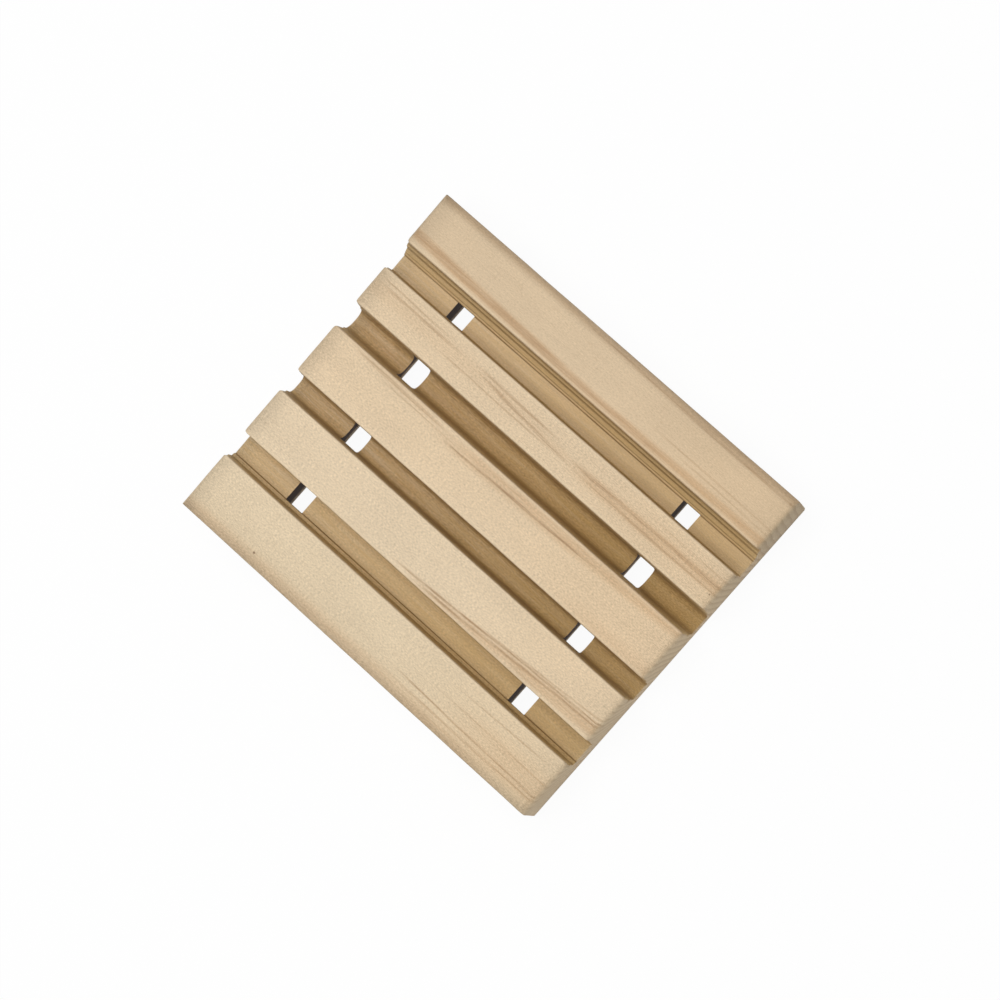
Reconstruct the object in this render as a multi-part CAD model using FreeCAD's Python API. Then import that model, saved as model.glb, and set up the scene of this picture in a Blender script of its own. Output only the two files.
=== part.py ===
import FreeCAD, Part
import math
import os

# Wooden soap dish milled from one board. X runs along the grooves, Y across them and Z up.
# The origin is the middle of the underside, and all sizes are in millimetres.

# Board
board_length = 110.3
board_height = 16.0
side_round = 1.4
underside_round = 1.0
end_round = 0.45

# Five slats that the grooves leave, from the +Y side to the -Y side
slat_1_width = 14.4
slat_2_width = 10.8
slat_3_width = 13.9
slat_4_width = 13.05
slat_5_width = 15.5
slat_edge_round = 0.6

# Four grooves between the slats, from the +Y side to the -Y side
groove_1_width = 7.8
groove_2_width = 7.2
groove_3_width = 6.05
groove_4_width = 7.0
outer_groove_depth = 8.0
outer_groove_draft = 0.3
groove_2_depth = 12.2
groove_2_draft = 0.9
groove_3_depth = 10.8
groove_3_draft = 0.6

# Foot of the groove walls: a sloping cove under the two outer slats, plain rounds elsewhere
cove_height = 3.0
cove_1_width = 2.9
cove_4_width = 1.25
cove_round = 1.5
outer_foot_round = 0.6
groove_2_foot_round = 2.4
groove_3_foot_round = 1.8

# Two drain channels across the underside, which break into the floors of all four grooves
channel_width = 5.2
left_channel_distance = 19.75
right_channel_distance = 19.05
channel_overlap = 0.25
channel_lip = 0.4

# Extra length of a cutter beyond the wood
overrun = 2.0

# The end edges run over the slat edges, so their round stays the smaller one
end_round_limit_share = 0.75

# Largest round at the foot of a round-bottomed groove, of the width of its floor
foot_round_limit_share = 0.45

slat_widths = (slat_1_width, slat_2_width, slat_3_width, slat_4_width, slat_5_width)
groove_widths = (groove_1_width, groove_2_width, groove_3_width, groove_4_width)
board_width = sum(slat_widths) + sum(groove_widths)
outer_floor = board_height - outer_groove_depth
groove_2_floor = board_height - groove_2_depth
groove_3_floor = board_height - groove_3_depth
channel_depth = outer_floor + channel_overlap


def soften(before, here, after, radius):
    """Start, middle and end of the arc that rounds the corner at here."""
    to_before = (before - here).normalize()
    to_after = (after - here).normalize()
    half_angle = to_before.getAngle(to_after) / 2
    reach = radius / math.tan(half_angle)
    bisector = (to_before + to_after).normalize()
    centre = here + bisector * (radius / math.sin(half_angle))
    return here + to_before * reach, centre - bisector * radius, here + to_after * reach


def rounded_face(corners):
    """Face inside a closed outline of (point, radius) corners. A corner of radius zero stays sharp."""
    edges = []
    joints = []
    for i, (here, radius) in enumerate(corners):
        before = corners[i - 1][0]
        after = corners[(i + 1) % len(corners)][0]
        if radius > 0:
            start, middle, end = soften(before, here, after, radius)
            edges.append(Part.Arc(start, middle, end).toShape())
            joints.append((start, end))
        else:
            joints.append((here, here))
    for i, (start, _) in enumerate(joints):
        edges.append(Part.LineSegment(joints[i - 1][1], start).toShape())
    return Part.Face(Part.Wire(Part.__sortEdges__(edges)))


def plain_foot(wall, inward, floor, draft, radius):
    """Lower end of a groove wall that leans in by the draft and is rounded into the floor."""
    return [(wall + inward * draft, floor, radius)]


def round_feet(near, far, floor, draft, foot_round):
    """Lower ends of both walls of a round-bottomed groove, whose rounds leave some flat floor between them."""
    floor_width = near - far - 2 * draft
    radius = min(foot_round, floor_width * foot_round_limit_share)
    return plain_foot(near, -1, floor, draft, radius), plain_foot(far, 1, floor, draft, radius)


def coved_foot(wall, inward, floor, width):
    """Lower end of an upright groove wall that slopes out to a crease in the floor."""
    return [(wall, floor + cove_height, cove_round), (wall + inward * width, floor, 0)]


def groove_feet(i, near, far):
    """Lower ends of the two walls of groove i, counted from zero."""
    if i == 0:
        near_foot = coved_foot(near, -1, outer_floor, cove_1_width)
        far_foot = plain_foot(far, 1, outer_floor, outer_groove_draft, outer_foot_round)
    elif i == 1:
        near_foot, far_foot = round_feet(near, far, groove_2_floor, groove_2_draft, groove_2_foot_round)
    elif i == 2:
        near_foot, far_foot = round_feet(near, far, groove_3_floor, groove_3_draft, groove_3_foot_round)
    else:
        near_foot = plain_foot(near, -1, outer_floor, outer_groove_draft, outer_foot_round)
        far_foot = coved_foot(far, 1, outer_floor, cove_4_width)
    return near_foot, far_foot


def groove_corners():
    """Corners of the four grooves in order from +Y to -Y, as (y, z, radius)."""
    corners = []
    wall = board_width / 2
    for i, groove_width in enumerate(groove_widths):
        near = wall - slat_widths[i]
        far = near - groove_width
        near_foot, far_foot = groove_feet(i, near, far)
        corners.append((near, board_height, slat_edge_round))
        corners += near_foot + far_foot[::-1]
        corners.append((far, board_height, slat_edge_round))
        wall = far
    return corners


def grooved_bar():
    """The board with its grooves and rounded long edges, before the ends are softened."""
    half = board_width / 2
    section = [(half, 0, underside_round), (half, board_height, side_round)]
    section += groove_corners()
    section += [(-half, board_height, side_round), (-half, 0, underside_round)]
    start = -board_length / 2
    face = rounded_face([(FreeCAD.Vector(start, y, z), radius) for y, z, radius in section])
    return face.extrude(FreeCAD.Vector(board_length, 0, 0))


def soften_ends(bar):
    """Round every edge of the two end faces."""
    half = board_length / 2
    tolerance = bar.getTolerance(1)
    edges = [edge for edge in bar.Edges if edge.BoundBox.XLength <= tolerance]
    edges = [edge for edge in edges if abs(abs(edge.CenterOfMass.x) - half) <= tolerance]
    return bar.makeFillet(min(end_round, slat_edge_round * end_round_limit_share), edges)


def channel_cutter(centre):
    """Cutter of one drain channel, with a small flared lip at the underside."""
    reach = board_width / 2 + overrun
    half = channel_width / 2
    flare = half + channel_lip + overrun
    outline = [(flare, -overrun), (half, channel_lip), (half, channel_depth)]
    outline += [(-x, z) for x, z in reversed(outline)]
    face = rounded_face([(FreeCAD.Vector(centre + x, -reach, z), 0) for x, z in outline])
    return face.extrude(FreeCAD.Vector(0, 2 * reach, 0))


def dish_board():
    board = soften_ends(grooved_bar())
    for centre in (left_channel_distance - board_length / 2, board_length / 2 - right_channel_distance):
        board = board.cut(channel_cutter(centre))
    return board.removeSplitter()


os.makedirs("parts", exist_ok=True)
dish = dish_board()
dish.exportStep("parts/dish_board.step")
print("dish_board", "valid", dish.isValid(), "solids", len(dish.Solids), "volume", round(dish.Volume))
box = dish.BoundBox
print("box", round(box.XLength, 2), round(box.YLength, 2), round(box.ZLength, 2))
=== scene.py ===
import math

import bpy
from mathutils import Matrix, Vector


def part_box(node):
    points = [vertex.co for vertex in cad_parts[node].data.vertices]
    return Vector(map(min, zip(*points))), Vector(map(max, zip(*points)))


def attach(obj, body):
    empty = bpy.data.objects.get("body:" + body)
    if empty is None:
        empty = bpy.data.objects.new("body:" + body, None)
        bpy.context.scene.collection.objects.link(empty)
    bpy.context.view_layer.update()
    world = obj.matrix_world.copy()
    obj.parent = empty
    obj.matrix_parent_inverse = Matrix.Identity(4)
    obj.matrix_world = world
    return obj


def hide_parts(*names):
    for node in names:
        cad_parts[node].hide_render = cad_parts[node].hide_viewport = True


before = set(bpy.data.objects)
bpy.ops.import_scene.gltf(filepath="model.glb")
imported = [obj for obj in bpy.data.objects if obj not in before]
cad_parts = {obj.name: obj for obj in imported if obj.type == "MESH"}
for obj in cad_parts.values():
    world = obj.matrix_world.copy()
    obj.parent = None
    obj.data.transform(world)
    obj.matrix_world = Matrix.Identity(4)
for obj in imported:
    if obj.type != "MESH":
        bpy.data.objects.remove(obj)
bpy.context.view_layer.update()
print("frame loaded, nodes:", sorted(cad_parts))

mm = 0.001

# Milled board, sizes in millimetres, slats and grooves counted from the +Y side
boardCut = {
    "node": "dish_board",
    "slats": (14.4, 10.8, 13.9, 13.05, 15.5),
    "grooves": (7.8, 7.2, 6.05, 7.0),
    "depths": (8.0, 12.2, 10.8, 8.0),
    "drafts": (0.3, 0.9, 0.6, 0.3),
    "footRounds": (0.6, 2.4, 1.8, 0.6),
    # ledges of the cutter on the outer walls: distance from the wall, height over the floor, round
    "firstLedges": ((0.30, 4.6, 0.25), (0.85, 3.9, 0.20), (1.15, 2.3, 0.25), (2.15, 1.35, 0.10),
                    (2.25, 1.0, 0.10), (2.80, 0.65, 0.10), (2.90, 0, 0)),
    "lastLedges": ((0.30, 1.1, 0.25), (1.10, 0.65, 0.12), (1.25, 0, 0)),
    "slatRound": 0.4,
    "sideRounds": (1.7, 1.0),
    "underRound": 1.0,
    "fineRound": 0.3,            # a round below this size gets few steps
    "roundSteps": (2, 6),        # steps of a fine round, and of any other
    "pointGap": 1.3,             # longest step along the section on top
    "underGap": 3.2,             # and on the underside
    "slices": 180,
    "roughSlices": 12,           # cut first, then each is cut again to the full number
    "smoothAngle": 32.0,         # degrees up to which faces are shaded as one
}

# Sawn ends, softened by sanding
endCut = {
    "rings": (0, 0.06, 0.2, 0.42, 0.7, 1.05, 1.65),     # distances from the end
    "topRound": 1.6,
    "mouthRound": 1.0,           # slat corners beside a groove, seen from above
    "cornerRound": 0.35,         # the four corners of the board, seen from above
    "floorRound": 0.3,
    "underRound": 0.6,
    "skews": (-0.7, 0.0),        # degrees that the left and right cuts are off square
    "slack": 0.05,               # allowance when the points of a wall or floor are chosen
    "ringSlack": 0.005,          # and those of a ring
}

# Drain channels across the underside
channelCut = {
    "width": 5.2,
    "fromEnds": (19.75, 19.05),
    "overlap": 0.25,             # how far the channels reach above the outer groove floors
    "lip": 0.4,
    "overrun": 2.0,
}

# Sanding and handling marks in the wood itself
wearMarks = {
    "waves": {"size": 11.0, "depth": 0.10, "level": 0.5},      # level: noise that moves nothing
    "nibbles": {"size": 2.6, "depth": 0.14, "level": 1.0},
    "endNibbles": {"size": 3.4, "depth": 0.35, "level": 1.0},
    "detail": 2,
    "edgeReach": 0.9,            # how far from a slat edge the wear and the painted edge highlight go
    "endReach": 1.8,             # and from the top edge of an end
    "flatBelow": 2.5,            # height under which the waves fade out
}

lowCorner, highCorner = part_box(boardCut["node"])
boardSize = (highCorner - lowCorner) / mm
boardHeight = boardSize.z
halfLength = boardSize.x / 2
halfWidth = boardSize.y / 2


def clearSelection():
    if bpy.context.mode != "OBJECT":
        bpy.ops.object.mode_set(mode="OBJECT")
    bpy.ops.object.select_all(action="DESELECT")


def choose(piece, kind, test):      # selects by place and ends in edit mode
    bpy.ops.object.mode_set(mode="EDIT")
    bpy.ops.mesh.select_mode(type=kind)
    bpy.ops.mesh.select_all(action="DESELECT")
    bpy.ops.object.mode_set(mode="OBJECT")
    mesh = piece.data
    places = [corner.co / mm for corner in mesh.vertices]
    if kind == "VERT":
        for corner in mesh.vertices:
            corner.select = test(places[corner.index])
    else:
        for edge in mesh.edges:
            edge.select = test(*[places[i] for i in edge.vertices])
    bpy.ops.object.mode_set(mode="EDIT")


def grooveWalls(cut):      # y of the two walls of each groove
    walls = []
    wall = halfWidth
    for slat, groove in zip(cut["slats"], cut["grooves"]):
        walls.append((wall - slat, wall - slat - groove))
        wall -= slat + groove
    return walls


def roundedCorner(cut, before, here, after, radius):      # points around one corner of the section
    if radius <= 0:
        return [here]
    toBefore = (before - here).normalized()
    toAfter = (after - here).normalized()
    halfAngle = toBefore.angle(toAfter) / 2
    centre = here + (toBefore + toAfter).normalized() * radius / math.sin(halfAngle)
    reach = radius / math.tan(halfAngle)
    start = here + toBefore * reach - centre
    end = here + toAfter * reach - centre
    sweep = math.pi - 2 * halfAngle
    fineSteps, plainSteps = cut["roundSteps"]
    steps = fineSteps if radius < cut["fineRound"] else plainSteps
    points = []
    for step in range(steps + 1):
        share = step / steps
        first = math.sin((1 - share) * sweep) / math.sin(sweep)
        second = math.sin(share * sweep) / math.sin(sweep)
        points.append(centre + start * first + end * second)
    return points


def grooveCorners(cut, index, near, far):      # corners of one groove, from +Y to -Y
    floor = boardHeight - cut["depths"][index]
    draft = cut["drafts"][index]
    footRound = cut["footRounds"][index]
    nearFoot = [(near - draft, floor, footRound)]
    farFoot = [(far + draft, floor, footRound)]
    if index == 0:
        nearFoot = [(near - out, floor + up, bend) for out, up, bend in cut["firstLedges"]]
    if index == len(cut["grooves"]) - 1:
        farFoot = [(far + out, floor + up, bend) for out, up, bend in reversed(cut["lastLedges"])]
    topRound = cut["slatRound"]
    return [(near, boardHeight, topRound), *nearFoot, *farFoot, (far, boardHeight, topRound)]


def boardSection(cut):      # closed outline across the board, as points with x at zero
    firstRound, lastRound = cut["sideRounds"]
    corners = [(halfWidth, 0, cut["underRound"]), (halfWidth, boardHeight, firstRound)]
    for index, (near, far) in enumerate(grooveWalls(cut)):
        corners += grooveCorners(cut, index, near, far)
    corners += [(-halfWidth, boardHeight, lastRound), (-halfWidth, 0, cut["underRound"])]
    bends = [corner[2] for corner in corners]
    places = [Vector((0, corner[0], corner[1])) for corner in corners]
    outline = []
    for index, place in enumerate(places):
        after = places[(index + 1) % len(places)]
        outline += roundedCorner(cut, places[index - 1], place, after, bends[index])
    points = []
    for index, here in enumerate(outline):
        after = outline[(index + 1) % len(outline)]
        underneath = here.z <= 0 and after.z <= 0
        gap = cut["underGap"] if underneath else cut["pointGap"]
        pieces = max(1, math.ceil((after - here).length / gap))
        points += [here.lerp(after, step / pieces) for step in range(pieces)]
    return points


def millBoard(cut):
    points = [point * mm for point in boardSection(cut)]
    clearSelection()
    bpy.ops.mesh.primitive_plane_add(size=mm, location=(0, 0, 0))
    piece = bpy.context.active_object
    piece.name = "grooved_board"
    piece.data.name = "grooved_board"
    bpy.ops.object.mode_set(mode="EDIT")
    bpy.ops.mesh.merge(type="CENTER")
    bpy.ops.transform.translate(value=points[0] - Vector((halfLength * mm, 0, 0)))
    for here, after in zip(points, points[1:]):
        bpy.ops.mesh.extrude_region_move(TRANSFORM_OT_translate={"value": after - here})
    bpy.ops.mesh.select_all(action="SELECT")
    bpy.ops.mesh.edge_face_add()
    bpy.ops.mesh.extrude_region_move(TRANSFORM_OT_translate={"value": (2 * halfLength * mm, 0, 0)})
    print("section points:", len(points))
    return piece


def sandedDrop(distance, radius):      # how far a rounded edge has fallen at a distance from the end
    if distance >= radius:
        return 0
    return radius - math.sqrt(radius ** 2 - (radius - distance) ** 2)


def flatten(piece, test, axis, level):      # presses the chosen points on to a level
    choose(piece, "VERT", test)
    keep = [0 if name == axis else 1 for name in "xyz"]
    centre = [level * mm if name == axis else 0 for name in "xyz"]
    bpy.ops.transform.resize(value=keep, center_override=centre)


def sandRing(piece, cut, ends, x, distance):      # one ring of the end zone
    mouth = sandedDrop(distance, ends["mouthRound"])
    floorDrop = sandedDrop(distance, ends["floorRound"])
    top = boardHeight - sandedDrop(distance, ends["topRound"])
    under = sandedDrop(distance, ends["underRound"])
    side = halfWidth - sandedDrop(distance, ends["cornerRound"])
    slack = ends["slack"]
    walls = grooveWalls(cut)
    floors = [boardHeight - depth for depth in cut["depths"]]

    def onRing(place):
        return abs(place.x - x) < ends["ringSlack"]

    def onWall(place, which, outward):      # wall of any groove above its foot, with the slat edge
        for index, pair in enumerate(walls):
            footTop = floors[index] + max(cut["footRounds"][index], cut["firstLedges"][0][1])
            away = (place.y - pair[which]) * outward
            if place.z > footTop and -cut["drafts"][index] - slack < away < cut["slatRound"] + slack:
                return True
        return False

    def onFloor(place):
        for index, (near, far) in enumerate(walls):
            if far < place.y < near and place.z < floors[index] + cut["footRounds"][index] + slack:
                return place.z > cut["underRound"]
        return False

    if mouth:
        choose(piece, "VERT", lambda place: onRing(place) and onWall(place, 0, 1))
        bpy.ops.transform.translate(value=(0, mouth * mm, 0))
        choose(piece, "VERT", lambda place: onRing(place) and onWall(place, 1, -1))
        bpy.ops.transform.translate(value=(0, -mouth * mm, 0))
    if floorDrop:
        choose(piece, "VERT", lambda place: onRing(place) and onFloor(place))
        bpy.ops.transform.translate(value=(0, 0, -floorDrop * mm))
    flatten(piece, lambda place: onRing(place) and place.y > side, "y", side)
    flatten(piece, lambda place: onRing(place) and place.y < -side, "y", -side)
    flatten(piece, lambda place: onRing(place) and place.z > top, "z", top)
    flatten(piece, lambda place: onRing(place) and place.z < under, "z", under)


def finishEnds(piece, cut, ends):
    places = [(side, distance) for side in (-1, 1) for distance in ends["rings"]]
    for side, distance in places:
        bpy.ops.object.mode_set(mode="EDIT")
        bpy.ops.mesh.select_all(action="SELECT")
        bpy.ops.mesh.bisect(plane_co=(side * (halfLength - distance) * mm, 0, 0), plane_no=(1, 0, 0))
    for side, distance in places:
        sandRing(piece, cut, ends, side * (halfLength - distance), distance)
    for side, skew in zip((-1, 1), ends["skews"]):
        choose(piece, "VERT", lambda place: place.x * side > 0)
        bpy.ops.transform.rotate(value=math.radians(skew), orient_axis="Z",
                                 center_override=(side * halfLength * mm, 0, 0))
    choose(piece, "EDGE", lambda first, second: abs(first.x - second.x) > halfLength)
    bpy.ops.mesh.subdivide(number_cuts=cut["roughSlices"] - 1)
    choose(piece, "EDGE", lambda first, second: abs(first.x - second.x) > halfLength / cut["roughSlices"])
    bpy.ops.mesh.subdivide(number_cuts=cut["slices"] // cut["roughSlices"] - 1)
    bpy.ops.mesh.select_all(action="SELECT")
    bpy.ops.mesh.normals_make_consistent(inside=False)
    bpy.ops.object.mode_set(mode="OBJECT")
    print("ends sanded, points:", len(piece.data.vertices))


def slatEdgeShare(place, edges, reach):      # 1 on a slat edge, 0 away from it
    sideways = min(abs(place.y - edge) for edge in edges)
    return max(0, 1 - math.hypot(boardHeight - place.z, sideways) / reach)


def endEdgeShare(place, reach):      # 1 on the top edge of an end
    return max(0, 1 - math.hypot(boardHeight - place.z, halfLength - abs(place.x)) / reach)


def wearDown(piece, cut, wear):
    edges = [wall for pair in grooveWalls(cut) for wall in pair] + [halfWidth, -halfWidth]
    groupNames = {"waves": "aboveUnderside", "nibbles": "slatEdges", "endNibbles": "endEdges"}
    groups = {name: piece.vertex_groups.new(name=groupName) for name, groupName in groupNames.items()}
    for corner in piece.data.vertices:
        place = corner.co / mm
        shares = {"waves": min(1, place.z / wear["flatBelow"]),
                  "nibbles": slatEdgeShare(place, edges, wear["edgeReach"]),
                  "endNibbles": endEdgeShare(place, wear["endReach"])}
        for name, share in shares.items():
            groups[name].add([corner.index], share, "REPLACE")
    for name, groupName in groupNames.items():
        pattern = bpy.data.textures.new(name, "CLOUDS")
        pattern.noise_scale = wear[name]["size"] * mm
        pattern.noise_depth = wear["detail"]
        mark = piece.modifiers.new(name, "DISPLACE")
        mark.texture = pattern
        mark.texture_coords = "LOCAL"
        mark.strength = wear[name]["depth"] * mm
        mark.mid_level = wear[name]["level"]
        mark.vertex_group = groupName
        bpy.ops.object.modifier_apply(modifier=mark.name)
    print("wear marks:", len(groupNames))


def channelCentres(channel):
    return [side * (halfLength - fromEnd) for side, fromEnd in zip((-1, 1), channel["fromEnds"])]


def cutChannels(piece, cut, channel):
    top = boardHeight - cut["depths"][0] + channel["overlap"]
    below = channel["overrun"]
    flare = (channel["width"] + 2 * (channel["lip"] + below)) / channel["width"]
    for centre in channelCentres(channel):
        clearSelection()
        bpy.ops.mesh.primitive_cube_add(size=1, location=(centre * mm, 0, (top - below) / 2 * mm))
        cutter = bpy.context.active_object
        cutter.scale = (channel["width"] * mm, 2 * (halfWidth + below) * mm, (top + below) * mm)
        bpy.ops.object.transform_apply(location=True, rotation=True, scale=True)
        bpy.ops.object.mode_set(mode="EDIT")
        bpy.ops.mesh.select_all(action="SELECT")
        bpy.ops.mesh.bisect(plane_co=(0, 0, channel["lip"] * mm), plane_no=(0, 0, 1))
        choose(cutter, "VERT", lambda place: place.z < 0)
        bpy.ops.transform.resize(value=(flare, 1, 1), center_override=(centre * mm, 0, 0))
        clearSelection()
        piece.select_set(True)
        bpy.context.view_layer.objects.active = piece
        saw = piece.modifiers.new("channel", "BOOLEAN")
        saw.operation = "DIFFERENCE"
        saw.solver = "EXACT"
        saw.object = cutter
        bpy.ops.object.modifier_apply(modifier=saw.name)
        clearSelection()
        cutter.select_set(True)
        bpy.ops.object.delete()
    piece.select_set(True)
    bpy.context.view_layer.objects.active = piece
    bpy.ops.object.shade_smooth_by_angle(angle=math.radians(cut["smoothAngle"]))
    print("channels cut:", len(channel["fromEnds"]))


def markEdges(piece, cut, wear):      # attribute for the painted highlight along the slat edges
    edges = [wall for pair in grooveWalls(cut) for wall in pair]
    attribute = piece.data.attributes.new("slatEdge", "FLOAT", "POINT")
    for corner in piece.data.vertices:
        attribute.data[corner.index].value = slatEdgeShare(corner.co / mm, edges, wear["edgeReach"])


# Shader maths: a Signal is one socket, and an expression on signals adds its Math nodes
class Signal:
    def __init__(self, tree, socket=None):
        self.tree = tree
        self.socket = socket

    def add(self, kind, settings=None, sockets=None, output=0):
        node = self.tree.nodes.new(kind)
        for name, value in (settings or {}).items():
            if name == "stops":
                setStops(node.color_ramp, value)
            else:
                setattr(node, name, value)
        for name, value in (sockets or {}).items():
            if isinstance(value, Signal):
                self.tree.links.new(value.socket, node.inputs[name])
            else:
                node.inputs[name].default_value = value
        return Signal(self.tree, node.outputs[output] if node.outputs else None)

    def maths(self, operation, first, second=0.0):
        return self.add("ShaderNodeMath", {"operation": operation}, {0: first, 1: second})

    def __add__(self, other):
        return self.maths("ADD", self, other)

    def __radd__(self, other):
        return self.maths("ADD", other, self)

    def __sub__(self, other):
        return self.maths("SUBTRACT", self, other)

    def __rsub__(self, other):
        return self.maths("SUBTRACT", other, self)

    def __mul__(self, other):
        return self.maths("MULTIPLY", self, other)

    def __rmul__(self, other):
        return self.maths("MULTIPLY", other, self)

    def __truediv__(self, other):
        return self.maths("DIVIDE", self, other)

    def __abs__(self):
        return self.maths("ABSOLUTE", self)

    def most(self, other):
        return self.maths("MAXIMUM", self, other)

    def split(self):      # x, y and z of a vector
        node = self.add("ShaderNodeSeparateXYZ", None, {0: self}).socket.node
        return [Signal(self.tree, socket) for socket in node.outputs]

    def rise(self, low, high):      # 0 below low, 1 above high, smooth between
        return self.add("ShaderNodeMapRange", {"interpolation_type": "SMOOTHSTEP"},
                        {"Value": self, "From Min": low, "From Max": high})

    def between(self, low, high, soft):      # 1 from low to high, with soft edges
        return self.rise(low - soft, low + soft) * (1 - self.rise(high - soft, high + soft))

    def near(self, middle, width, soft):      # 1 within a width of the middle, with a soft edge
        return 1 - abs(self - middle).rise(width - soft, width + soft)

    def blend(self, first, second):      # colour mix with this signal as its factor
        return self.add("ShaderNodeMix", {"data_type": "RGBA"}, {0: self, 6: first, 7: second}, 2)

    def shade(self, colour):      # colour times this signal
        return self.add("ShaderNodeVectorMath", {"operation": "SCALE"}, {0: colour, "Scale": self})


def setStops(ramp, stops):
    ramp.interpolation = "EASE"
    while len(ramp.elements) < len(stops):
        ramp.elements.new(0.5)      # moved to its place below
    for element, (place, colour) in zip(ramp.elements, stops):
        element.position = place
        element.color = colour


# Pale softwood, colours as linear values
woodLook = {
    # plain wood from the -Y side to the +Y side: place in millimetres and colour
    "tones": (
        (-48, (0.68, 0.545, 0.365, 1)), (-38, (0.70, 0.565, 0.385, 1)), (-18, (0.72, 0.575, 0.395, 1)),
        (1, (0.71, 0.55, 0.365, 1)), (20, (0.69, 0.535, 0.355, 1)), (41, (0.645, 0.495, 0.325, 1)),
    ),
    # late wood, and painted shade on the rounded outer edges
    "bandAndEdgeShadeColour": (0.56, 0.375, 0.212, 1),
    "lineColour": (0.36, 0.225, 0.12, 1),
    "fleckColour": (0.48, 0.33, 0.19, 1),
    "warmColour": (0.60, 0.385, 0.185, 1),       # tone of the slats towards the right end
    "millColour": (0.64, 0.46, 0.245, 1),
    "deepColour": (0.525, 0.345, 0.155, 1),
    "wallColour": (0.60, 0.415, 0.165, 1),
    "shadyColour": (0.42, 0.265, 0.085, 1),      # painted shade in the grooves towards the right end
    # painted shade in the groove creases, also the tone of the torn fibres
    "creaseShadeAndFibreColour": (0.26, 0.155, 0.065, 1),
    # painted shade, nearly black, inside the drain channels
    "channelShadeColour": (0.075, 0.04, 0.028, 1),
    "endColour": (0.71, 0.57, 0.375, 1),
    "endBlotch": (0.54, 0.42, 0.28, 1),
    "endRing": (0.44, 0.315, 0.195, 1),
    # painted highlight along the slat edges
    "edgeHighlightColour": (0.80, 0.645, 0.44, 1),
    "speckColour": (0.16, 0.09, 0.045, 1),
}

# Growth rings, in millimetres
ringLook = {
    "lean": 0.32,                # slope of the rings in the middle of the board
    "leanPerMm": -0.0091,        # and its change across the board
    "wander": 0.9,
    "width": 2.1,                # width of a year ring
    "stray": 1.6,                # how many years its lines wander
    "darkens": (0.3, 0.9),       # shares of the year between which it darkens
    "ends": (0.93, 1.0),         # and between which it breaks off
    "below": 0.3,                # strength below the slat tops
    "onEnds": 0.15,              # and as much more on the ends
    "fromTop": (2.0, 0.3),       # depths between which the rings fade out at the top
}

# Noise drawn out along the board: reach along and across it in millimetres, detail, roughness, and the
# levels between which a mark shows
woodGrain = {
    "wander": (38, 11, 2, 0.5, None),
    "years": (60, 16, 1, 0.5, None),
    "gaps": (9, 0.24, 3, 0.5, (0.36, 0.62)),
    "smear": (12, 0.4, 4, 0.65, (0.25, 0.75)),
    "fibre": (7, 0.26, 3, 0.5, None),
    "speckle": (0.6, 0.2, 1, 0.5, None),
    "cloud": (24, 8, 2, 0.5, None),
    "fleck": (1.8, 0.15, 2, 0.5, (0.58, 0.72)),
    "patches": (14, 1.2, 2, 0.5, None),
    "torn": (2.2, 0.22, 2, 0.5, (0.46, 0.62)),
}
noiseMiddle = 0.5

# Strengths of the plain grain. Places are in millimetres
grainLook = {
    "brokenBands": 0.4,          # how far the fine gaps break up the late wood
    "brokenLines": 0.62,
    "warm": 0.15,
    "warmAlong": (0, 45),        # x between which the wood turns warmer
    "fibre": 0.2,
    "speckle": 0.52,
    "cloud": 0.18,
    "fleck": 0.22,
    "coarse": 1.7,               # speckle on slats 2 to 5, as a multiple of that on slat 1
    "finer": 0.7,                # and what slat 1 and its groove lose of it
    "finerFrom": (24.5, 27),
    "endZone": 9,                # both ends are a little darker
    "endShade": 0.05,
    "leftDarkZone": 6,            # and the left end is darker, less so on slat 1
    "leftDark": 0.16,
    "leftDarkLess": 0.07,
    "paintedRimShade": 0.2,                  # painted shade on the two rounded outer edges
    "paintedRimShadeZone": (3.2, 0.6),
    "paintedRimShadeDepths": (3, 1),
}

# Milled grooves
grooveLook = {
    "soft": 0.1,                 # softness of the border at the walls
    "heights": (1.5, 3.0),       # heights between which it sets in over the plain underside
    "depths": (2.6, 0.5),        # depths between which it fades out at the slat tops
    "deepFloor": 0.5,            # height over the deepest floor up to which the deep tone is full
    "milled": 0.3,
    "smeared": 0.8,
    "steepFacing": (0.6, 0.98),
    "wall": 0.45,
    "lastAcross": (-14, -26),    # y between which the extra painted shade of groove 4 sets in
    "shadyAlong": (-55, 40),
    "shady": 0.25,
    "shadyDeep": 0.42,
    "shadyLast": 0.1,
    "lastShade": 0.16,
    "creaseShadeAndFibreSoft": 0.9,             # softness of the painted crease shade and of the torn fibre lines, of their width
    # painted shade in the creases: its base strength, and how much smears and patches add
    "creaseShadeAndFibre": 0.25,
    "creaseShadeSmeared": 0.6,
    "creaseShadePatches": 0.8,
}

# Sawn end grain
endLook = {
    "facing": (0.5, 0.95),
    "zone": (2, 1.2),            # distances from the end between which it begins
    "poreScale": 2600.0,
    "poreDetail": 3.0,
    "pores": (0.3, 0.8),
    "rings": 0.45,
    "shade": 0.22,               # the ends darken towards slat 1
    "shadeAcross": (10, 38),
    "strength": 0.85,
    "grooveLess": 0.5,
}

# Painted highlight on the slat edges, painted shade on the channel walls, and specks
markLook = {
    "edgeHighlight": 0.38,
    "edgeHighlightFrom": (0.15, 0.75),
    "channelMargin": 0.1,
    "channelSoft": 0.05,
    "channelFacing": (0.6, 0.8),
    "channelHeights": (0.8, 3.2),
    "speck": 0.8,
    "speckCore": 0.3,            # part of a speck's radius that is plain dark
}

# Surface of the wood
surfaceLook = {
    "roughness": 0.6,
    "fibreRoughness": 0.1,
    "cutRoughness": 0.12,        # more in the grooves and on the ends
    "gloss": 0.3,
    "relief": {"fibre": 0.5, "speckle": 0.35, "fleck": 0.4, "line": 0.2, "smear": 1.2},
    "reliefStrength": 0.4,
    "reliefHeight": 0.12,
}
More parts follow.
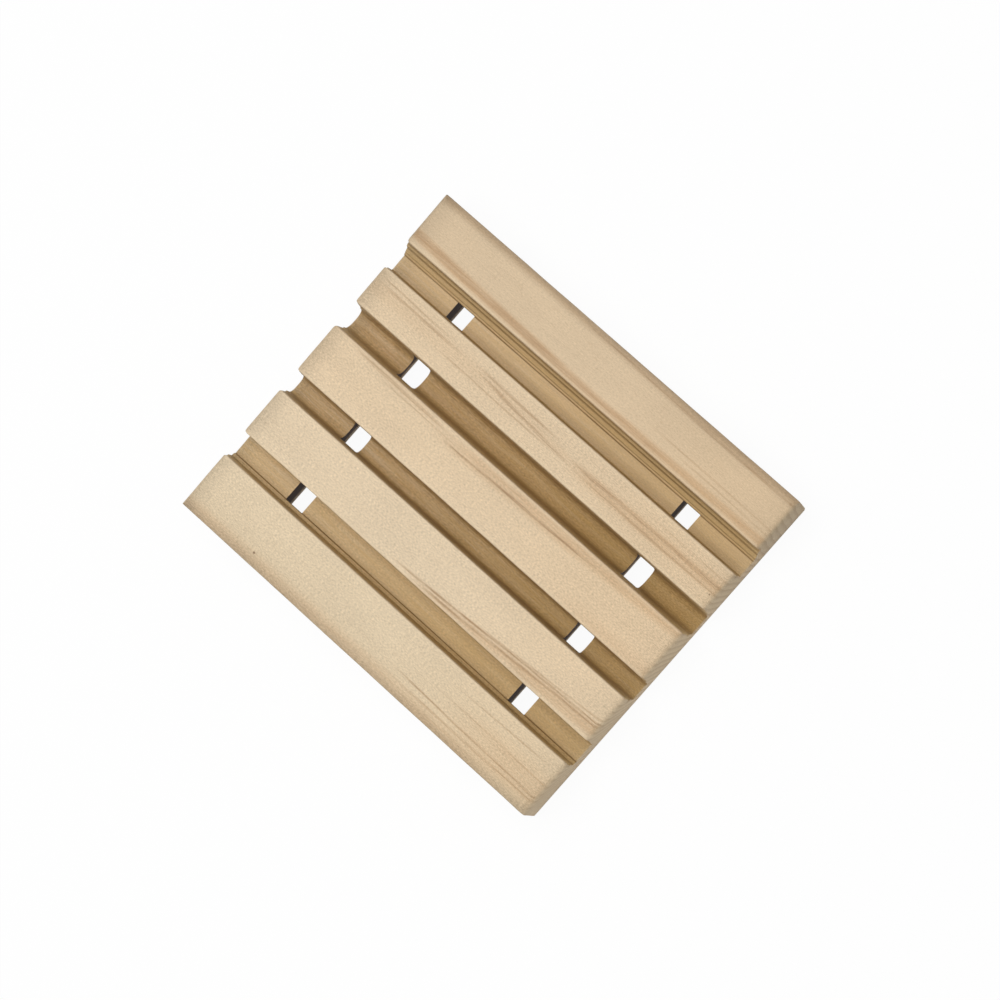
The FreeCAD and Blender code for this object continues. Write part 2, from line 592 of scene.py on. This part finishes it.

# Late wood on the slat tops, and painted shade along the two rounded outer edges: y at the left end,
# the middle and the right end, half width, softness of the edge, strength, and the x between which each
# mark fades in and out
woodBandsAndEdgeShade = (
    ((36.2, 34.8, 35.0), 1.2, 0.70, 1.00, None, None),
    # painted shade on the rounded +Y edge of slat 1
    ((47.3, 47.2, 47.4), 1.1, 0.90, 0.60, None, None),
    ((20.6, 20.9, 20.9), 1.8, 1.40, 0.25, None, (-10, 10)),
    ((23.9, 20.6, 18.0), 0.8, 0.70, 0.35, (-26, -14), (4, 14)),
    ((19.4, 19.5, 20.3), 1.5, 1.20, 0.75, (6, 18), None),
    ((7.2, 6.2, 5.5), 0.8, 0.70, 0.40, (-50, -40), (-26, -14)),
    ((4.5, 5.3, 7.4), 1.7, 1.00, 0.78, (-24, -4), None),
    ((7.7, 7.7, 7.8), 0.7, 0.50, 0.55, None, None),
    ((-6.0, -6.0, -5.8), 2.4, 2.20, 0.45, (18, 44), None),
    ((-27.0, -25.0, -22.6), 1.4, 1.10, 0.72, (-10, 12), None),
    ((-42.0, -42.0, -42.0), 4.0, 2.60, 0.45, (20, 44), None),
    # painted shade on the rounded -Y edge of slat 5
    ((-47.2, -47.0, -47.4), 2.2, 1.60, 0.55, None, (34, 54)),
)
woodLines = (
    ((36.3, 34.9, 35.0), 0.80, 0.60, 0.45, None, (10, 40)),
    ((47.0, 46.6, 45.6), 0.22, 0.22, 0.85, (-12, -2), (18, 30)),
    ((47.0, 46.2, 46.0), 0.28, 0.28, 0.75, (10, 25), None),
    ((38.0, 38.6, 38.4), 0.20, 0.20, 0.40, (16, 26), None),
    ((37.0, 37.4, 37.0), 0.20, 0.20, 0.35, (24, 34), None),
    ((23.4, 22.6, 22.0), 0.20, 0.20, 0.65, (-54, -50), (-38, -30)),
    ((22.0, 21.8, 21.4), 0.35, 0.30, 0.50, (-54, -48), (-34, -24)),
    ((23.2, 22.1, 21.0), 0.30, 0.28, 0.60, (-24, -16), (-4, 6)),
    ((24.6, 19.9, 17.0), 0.35, 0.30, 0.60, (-24, -14), (2, 12)),
    ((20.0, 20.2, 20.5), 0.45, 0.40, 0.80, (6, 18), None),
    ((19.0, 18.9, 18.7), 0.30, 0.30, 0.60, (12, 24), None),
    ((19.0, 19.1, 19.1), 0.18, 0.18, 0.50, (-34, -26), (4, 14)),
    ((23.6, 23.0, 22.6), 0.30, 0.30, 0.45, (28, 40), None),
    ((6.9, 5.8, 5.0), 0.30, 0.30, 0.55, (-50, -42), (-24, -14)),
    ((5.6, 4.8, 4.4), 0.22, 0.22, 0.45, (-40, -30), (-18, -10)),
    ((3.6, 4.45, 6.6), 0.26, 0.16, 1.00, (-18, -12), (20, 36)),
    ((-26.4, -23.6, -20.8), 0.22, 0.20, 1.00, (-10, -2), None),
    ((-27.6, -24.6, -21.6), 0.30, 0.28, 0.80, (-4, 8), None),
    ((-23.8, -23.2, -19.7), 0.18, 0.18, 0.60, (14, 26), None),
    ((-35.6, -36.2, -35.4), 0.16, 0.16, 0.55, (22, 32), (44, 54)),
    ((-38.0, -39.0, -39.6), 0.16, 0.16, 0.55, (18, 30), None),
    ((-40.6, -42.2, -43.2), 0.20, 0.20, 0.75, (6, 18), None),
    ((-43.4, -44.4, -44.2), 0.25, 0.25, 0.65, (4, 22), None),
)

# Painted shade in the steps and feet of the grooves: y, half width, strength
grooveCreaseShade = (
    (33.2, 0.24, 0.60), (32.35, 0.20, 0.65), (31.2, 0.12, 0.60), (30.6, 0.16, 0.90), (25.9, 0.22, 0.60),
    (13.9, 0.45, 0.55), (8.6, 0.40, 0.50), (-7.0, 0.35, 0.55), (-11.8, 0.35, 0.50),
    (-25.7, 0.22, 0.60), (-31.1, 0.14, 0.90), (-32.0, 0.14, 0.45),
)

# Torn fibres at the feet of the two middle grooves, written alike
tornFibre = ((13.6, 0.9, 0.55), (9.0, 0.6, 0.35), (-7.2, 0.8, 0.55), (-11.6, 0.6, 0.35))

# Small dark specks: x, y and radius
woodSpecks = ((-33.3, -44.9, 0.45), (46.8, 47.3, 0.35), (53.6, 18.3, 0.3))


class WoodDesk(Signal):      # the node tree of the wood, with the shaded point and its facing at hand
    def __init__(self, tree):
        super().__init__(tree)
        self.place = self.add("ShaderNodeTexCoord", output="Object")
        self.x, self.y, self.z = [part / mm for part in self.place.split()]
        self.facing = self.add("ShaderNodeTexCoord", output="Normal").split()

    def grain(self, name):
        along, across, detail, level, limits = woodGrain[name]
        vector = self.add("ShaderNodeCombineXYZ", None,
                          {0: self.x / along, 1: self.y / across, 2: self.z / across})
        noise = self.add("ShaderNodeTexNoise", None,
                         {"Vector": vector, "Scale": 1.0, "Detail": detail, "Roughness": level})
        return noise.rise(*limits) if limits else noise

    def upward(self, low, high):      # rises between two depths below the slat tops
        return self.z.rise(boardHeight - low, boardHeight - high)


def ringPlace(desk, look):      # rings lean through the board, so streaks go on down its ends
    lean = desk.y * look["leanPerMm"] + look["lean"]
    wander = (desk.grain("wander") - noiseMiddle) * look["wander"]
    return desk.y - (boardHeight - desk.z) * lean + wander


def ringTones(desk, tones, ring):
    first = tones[0][0]
    spread = tones[-1][0] - first
    stops = [((where - first) / spread, colour) for where, colour in tones]
    return desk.add("ShaderNodeValToRGB", {"stops": stops}, {"Fac": (ring - first) / spread})


def growthShare(desk, look, ring):      # one year ring after another, each ending in a dark line
    year = desk.maths("FRACT", ring / look["width"] + desk.grain("years") * look["stray"])
    return year.rise(*look["darkens"]) * (1 - year.rise(*look["ends"]))


def lateWoodAndEdgeShadeShare(desk, marks, ring, broken):
    total = None
    for (left, middle, right), width, soft, strength, fadeIn, fadeOut in marks:
        slope = (right - left) / (2 * halfLength)
        bow = (left + right - 2 * middle) / (2 * halfLength ** 2)
        line = desk.x * (desk.x * bow + slope) + middle
        one = ring.near(line, width, soft) * strength
        if fadeIn:
            one = one * desk.x.rise(*fadeIn)
        if fadeOut:
            one = one * (1 - desk.x.rise(*fadeOut))
        total = one if total is None else total.most(one)
    gaps = 1 - desk.grain("gaps")      # breaks the marks up into fine lines
    return total * (1 - gaps * broken)


def grooveShare(desk, look, cut):      # 1 inside a groove, from the slat tops down to its floor
    soft = look["soft"]
    total = None
    for near, far in grooveWalls(cut):
        one = desk.y.between(far - soft, near + soft, soft)
        total = one if total is None else total + one
    return total * desk.z.rise(*look["heights"]) * (1 - desk.upward(*look["depths"]))


# lines along the board by y: the painted crease shade, and the torn fibres
def creaseShadeAndFibreShare(desk, look, creaseShadeAndFibre):
    total = None
    for where, width, strength in creaseShadeAndFibre:
        one = desk.y.near(where, width, width * look["creaseShadeAndFibreSoft"]) * strength
        total = one if total is None else total.most(one)
    return total


def channelShadeShare(desk, look, channel):      # painted shade on the walls and roof of the channels, away from the underside
    total = None
    half = channel["width"] / 2 + look["channelMargin"]
    for centre in channelCentres(channel):
        one = desk.x.between(centre - half, centre + half, look["channelSoft"])
        total = one if total is None else total + one
    wall = abs(desk.facing[0]).most(0 - desk.facing[2]).rise(*look["channelFacing"])
    return total * wall * desk.z.rise(*look["channelHeights"])


def speckShare(desk, look, specks):
    total = None
    for x, y, radius in specks:
        away = desk.add("ShaderNodeVectorMath", {"operation": "DISTANCE"},
                        {0: desk.place, 1: (x * mm, y * mm, boardHeight * mm)}, "Value")
        one = 1 - (away / mm).rise(radius * look["speckCore"], radius)
        total = one if total is None else total.most(one)
    return total


def milledWood(desk, look, cut, colour, groove, smear):      # rougher and browner, most of all low down, with painted shade towards the right end and in groove 4
    deepTop = boardHeight - cut["depths"][1] + look["deepFloor"]
    deep = 1 - desk.z.rise(deepTop, boardHeight - cut["depths"][0])
    milled = deep.blend(woodLook["millColour"], woodLook["deepColour"])
    colour = (groove * (smear * look["smeared"] + look["milled"])).blend(colour, milled)
    steep = 1 - desk.facing[2].rise(*look["steepFacing"])
    colour = (groove * steep * look["wall"]).blend(colour, woodLook["wallColour"])
    # painted shade: darker towards the right end, deeper down and in groove 4
    last = desk.y.rise(*look["lastAcross"])
    shade = deep * look["shadyDeep"] + last * look["shadyLast"] + look["shady"]
    shady = desk.x.rise(*look["shadyAlong"]) * shade + last * look["lastShade"]
    return (groove * shady).blend(colour, woodLook["shadyColour"])


def grainLevel(desk, look, fibre, speckle):      # fibres, pores and slow clouding, darker at the ends, with painted shade on the rounded outer edges
    finer = desk.y.rise(*look["finerFrom"])
    coarse = look["coarse"] - finer * look["finer"]
    level = (fibre - noiseMiddle) * look["fibre"] + (speckle - noiseMiddle) * coarse * look["speckle"]
    level = level + (desk.grain("cloud") - noiseMiddle) * look["cloud"] + 1
    endward = abs(desk.x).rise(halfLength - look["endZone"], halfLength)
    leftward = (0 - desk.x).rise(halfLength - look["leftDarkZone"], halfLength)
    leftDark = leftward * (look["leftDark"] - finer * look["leftDarkLess"])
    inner, outer = look["paintedRimShadeZone"]
    # painted shade where the rounded outer edges turn away from the light
    paintedRimShade = abs(desk.y).rise(halfWidth - inner, halfWidth - outer) * desk.upward(*look["paintedRimShadeDepths"])
    return level - endward * look["endShade"] - leftDark - paintedRimShade * look["paintedRimShade"]


def endGrain(desk, look, growth):      # grey and porous
    pores = desk.add("ShaderNodeTexNoise", None,
                     {"Vector": desk.place, "Scale": look["poreScale"], "Detail": look["poreDetail"]})
    colour = pores.rise(*look["pores"]).blend(woodLook["endColour"], woodLook["endBlotch"])
    colour = (growth * look["rings"]).blend(colour, woodLook["endRing"])
    return (1 - desk.y.rise(*look["shadeAcross"]) * look["shade"]).shade(colour)


def woodMaterial(look, cut, channel):
    material = bpy.data.materials.new("boardWood")
    material.use_nodes = True
    material.node_tree.nodes.clear()
    desk = WoodDesk(material.node_tree)
    ring = ringPlace(desk, ringLook)
    colour = ringTones(desk, look["tones"], ring)
    # late wood, and painted shade on the rounded outer edges
    bandAndEdgeShade = lateWoodAndEdgeShadeShare(desk, woodBandsAndEdgeShade, ring, grainLook["brokenBands"])
    colour = bandAndEdgeShade.blend(colour, look["bandAndEdgeShadeColour"])
    line = lateWoodAndEdgeShadeShare(desk, woodLines, ring, grainLook["brokenLines"])
    colour = line.blend(colour, look["lineColour"])
    warm = desk.x.rise(*grainLook["warmAlong"]) * grainLook["warm"]
    colour = warm.blend(colour, look["warmColour"])

    # end faces, and year rings there, on the sides, on the walls and underneath
    inner, outer = endLook["zone"]
    endZone = abs(desk.x).rise(halfLength - inner, halfLength - outer)
    end = abs(desk.facing[0]).rise(*endLook["facing"]) * endZone
    growth = growthShare(desk, ringLook, ring)
    below = 1 - desk.upward(*ringLook["fromTop"])
    rings = growth * (below * ringLook["below"] + end * ringLook["onEnds"])
    colour = rings.blend(colour, look["lineColour"])

    # milled grooves, then the grain over all of the board, then the end grain
    cutAway = grooveShare(desk, grooveLook, cut)
    groove = cutAway * (1 - end)
    smear = desk.grain("smear")
    colour = milledWood(desk, grooveLook, cut, colour, groove, smear)
    fibre = desk.grain("fibre")
    speckle = desk.grain("speckle")
    fleck = desk.grain("fleck")
    colour = grainLevel(desk, grainLook, fibre, speckle).shade(colour)
    colour = (fleck * grainLook["fleck"]).blend(colour, look["fleckColour"])
    endStrength = endLook["strength"] - cutAway * endLook["grooveLess"]
    colour = (end * endStrength).blend(colour, endGrain(desk, endLook, growth))

    # painted highlight on the slat edges, painted shade in the steps and feet of the grooves, torn fibres,
    # painted shade in the channels, and specks
    edgeHighlightShare = desk.add("ShaderNodeAttribute", {"attribute_name": "slatEdge"}, None, "Fac")
    # painted highlight along the slat edges
    colour = (edgeHighlightShare.rise(*markLook["edgeHighlightFrom"]) * markLook["edgeHighlight"]).blend(colour, look["edgeHighlightColour"])
    # painted shade in the steps and feet of the grooves, broken up by smears and patches
    patchy = desk.grain("patches") * grooveLook["creaseShadePatches"]
    creaseShadeStrength = smear * grooveLook["creaseShadeSmeared"] + patchy + grooveLook["creaseShadeAndFibre"]
    creaseShadeAndFibre = creaseShadeAndFibreShare(desk, grooveLook, grooveCreaseShade) * groove * creaseShadeStrength
    colour = creaseShadeAndFibre.blend(colour, look["creaseShadeAndFibreColour"])
    torn = creaseShadeAndFibreShare(desk, grooveLook, tornFibre) * groove * desk.grain("torn")
    colour = torn.blend(colour, look["creaseShadeAndFibreColour"])
    # painted shade in the channels
    colour = channelShadeShare(desk, markLook, channel).blend(colour, look["channelShadeColour"])
    speck = speckShare(desk, markLook, woodSpecks) * markLook["speck"]
    colour = speck.blend(colour, look["speckColour"])

    rise = surfaceLook["relief"]
    relief = fibre * rise["fibre"] + speckle * rise["speckle"] - fleck * rise["fleck"]
    relief = relief + line * rise["line"] + groove * smear * rise["smear"]
    bump = desk.add("ShaderNodeBump", None, {"Height": relief, "Strength": surfaceLook["reliefStrength"],
                                             "Distance": surfaceLook["reliefHeight"] * mm})
    roughness = surfaceLook["roughness"] + fibre * surfaceLook["fibreRoughness"]
    roughness = roughness + groove * surfaceLook["cutRoughness"] + end * surfaceLook["cutRoughness"]
    shader = desk.add("ShaderNodeBsdfPrincipled", None,
                      {"Base Color": colour, "Roughness": roughness, "Normal": bump,
                       "Specular IOR Level": surfaceLook["gloss"]})
    desk.add("ShaderNodeOutputMaterial", None, {"Surface": shader})
    print("wood nodes:", len(material.node_tree.nodes))
    return material


board = millBoard(boardCut)
finishEnds(board, boardCut, endCut)
wearDown(board, boardCut, wearMarks)
cutChannels(board, boardCut, channelCut)
markEdges(board, boardCut, wearMarks)
board.data.materials.append(woodMaterial(woodLook, boardCut, channelCut))
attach(board, "root")
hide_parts(boardCut["node"])
print("board faces:", len(board.data.polygons))

# White table and plain soft light
studio = {
    "tableSize": 4.0,
    "tableGap": 0.02,            # millimetres under the board
    "tableColour": (0.9, 0.9, 0.9, 1),
    "white": (1, 1, 1, 1),
    "whiteness": 0.94,           # share of plain white that the table shows to the eye
    "skyStrength": 0.40,
    "softbox": {"place": (-0.14, -0.06, 0.97), "size": 0.8, "power": 6.9},
}


def seenRay(desk):      # 1 where the eye, a gloss or a glass looks
    rays = [desk.add("ShaderNodeLightPath", None, None, name)
            for name in ("Is Camera Ray", "Is Glossy Ray", "Is Transmission Ray")]
    return rays[0].most(rays[1]).most(rays[2])


def layTable(light):
    clearSelection()
    bpy.ops.mesh.primitive_plane_add(size=light["tableSize"], location=(0, 0, -light["tableGap"] * mm))
    table = bpy.context.active_object
    table.name = "table"
    material = bpy.data.materials.new("whiteTable")
    material.use_nodes = True
    material.node_tree.nodes.clear()
    desk = Signal(material.node_tree)
    matt = desk.add("ShaderNodeBsdfDiffuse", None, {"Color": light["tableColour"]})
    white = desk.add("ShaderNodeEmission", None, {"Color": light["white"], "Strength": 1.0})
    seen = seenRay(desk) * light["whiteness"]
    mixed = desk.add("ShaderNodeMixShader", None, {0: seen, 1: matt, 2: white})
    clear = desk.add("ShaderNodeBsdfTransparent")      # from below the table hides nothing
    back = desk.add("ShaderNodeNewGeometry", output="Backfacing")
    mixed = desk.add("ShaderNodeMixShader", None, {0: back, 1: mixed, 2: clear})
    desk.add("ShaderNodeOutputMaterial", None, {"Surface": mixed})
    table.data.materials.append(material)


def lightScene(light):
    world = bpy.data.worlds.new("softRoom")
    bpy.context.scene.world = world
    world.use_nodes = True
    world.node_tree.nodes.clear()
    desk = Signal(world.node_tree)
    seen = seenRay(desk)
    strength = seen * (1 - light["skyStrength"]) + light["skyStrength"]
    sky = desk.add("ShaderNodeBackground", None, {"Color": light["white"], "Strength": strength})
    desk.add("ShaderNodeOutputWorld", None, {"Surface": sky})
    box = light["softbox"]
    bpy.ops.object.light_add(type="AREA", location=box["place"])
    lamp = bpy.context.active_object
    lamp.name = "softbox"
    lamp.data.shape = "SQUARE"
    lamp.data.size = box["size"]
    lamp.data.energy = box["power"]
    lamp.rotation_euler = (-Vector(box["place"])).to_track_quat("-Z", "Y").to_euler()


# Camera of the photograph, angles in degrees and distances in millimetres
cameraView = {
    "tilt": 11.27,               # towards +X from straight above
    "swing": 2.0,                # towards +Y
    "roll": 41.34,
    "target": (2.45, 2.61),      # point on the slat tops in the middle of the picture
    "distance": 800.0,
    "focalShare": 3.458,         # focal length in picture widths
    "sensor": 36.0,
    "nearest": 10.0,
}


def setCamera(view):
    leanX = math.tan(math.radians(view["tilt"]))
    leanY = math.tan(math.radians(view["swing"]))
    back = Vector((leanX, leanY, 1)).normalized()
    target = Vector((*view["target"], boardHeight))
    right = (-back).cross(Vector((0, 1, 0))).normalized()
    up = back.cross(right)
    axes = Matrix((right, up, back)).transposed()
    turn = axes @ Matrix.Rotation(math.radians(view["roll"]), 3, "Z")
    place = (target + back * view["distance"]) * mm
    bpy.ops.object.camera_add(location=place, rotation=turn.to_euler())
    camera = bpy.context.active_object
    camera.data.sensor_width = view["sensor"]
    camera.data.lens = view["focalShare"] * view["sensor"]
    camera.data.clip_start = view["nearest"] * mm
    bpy.context.scene.camera = camera


layTable(studio)
lightScene(studio)
setCamera(cameraView)
bpy.context.scene.view_settings.view_transform = "Standard"
print("table, light and camera set")
